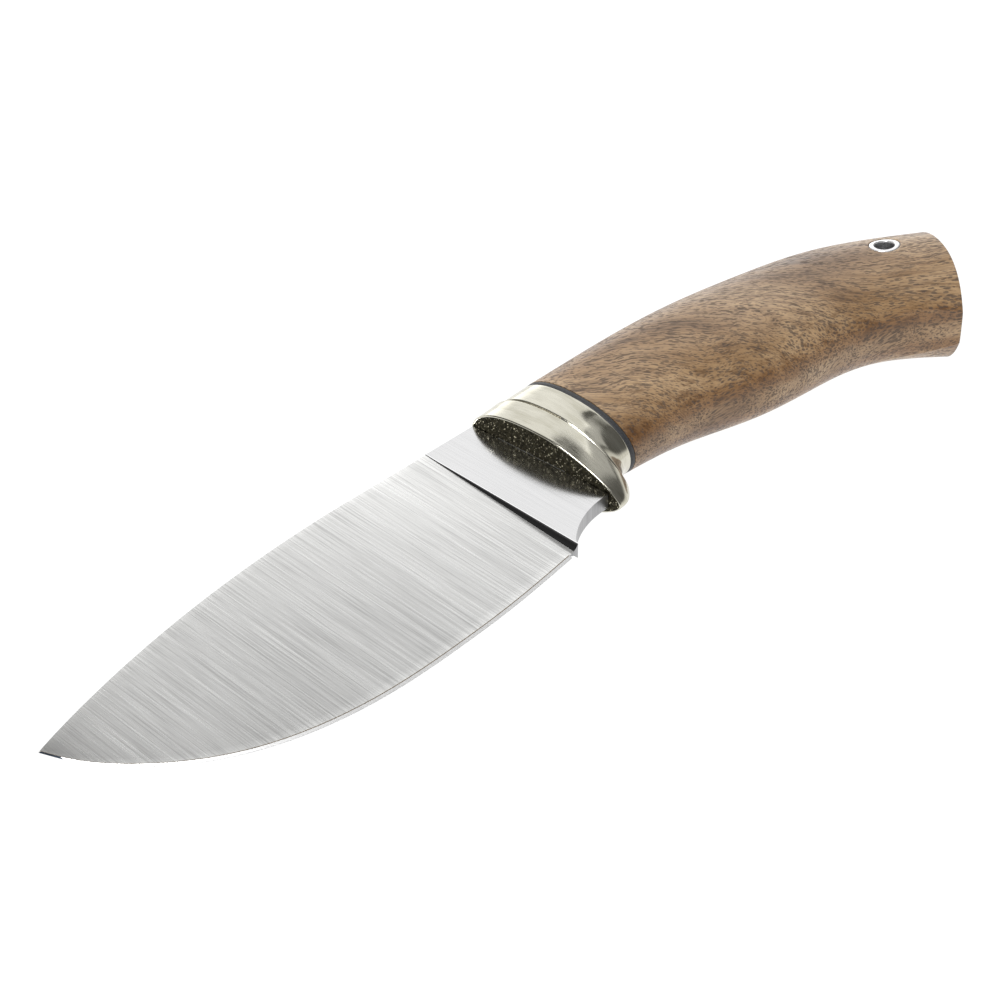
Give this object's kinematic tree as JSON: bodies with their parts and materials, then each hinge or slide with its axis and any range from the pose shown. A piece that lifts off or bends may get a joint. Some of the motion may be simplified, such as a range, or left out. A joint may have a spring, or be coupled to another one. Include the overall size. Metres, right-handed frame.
{
  "type": "fixed-blade skinning knife",
  "caption": "Fixed-blade knife with a broad drop-point blade, cast bolster with finger lug, black spacer and a curved walnut handle with a lanyard tube.",
  "frame": {"origin": "front face of the bolster, on the tang's centre line, in the blade's mid-plane", "axes": "+X from the blade to the butt, +Y from the edge to the spine, +Z out of the left side of the knife, which lies on its right side"},
  "size_m": [0.2164, 0.0456, 0.023],
  "materials": {
    "blade_steel": "satin, brushed across the blade, with a polished edge bevel",
    "nickel_silver": "polished nickel silver casting with a dark stippled front face",
    "black_fibre": "matt black fibre",
    "walnut": "oiled walnut with dark pores, satin",
    "cured_adhesive": "cured epoxy, hidden",
    "tube_metal": "bright tube dressed flush with the wood"
  },
  "bodies": {
    "root": {"blade": "blade_steel", "bolster": "nickel_silver", "spacer": "black_fibre", "handle": "walnut", "tang_epoxy": "cured_adhesive", "lanyard_tube": "tube_metal"}
  },
  "joints": []
}
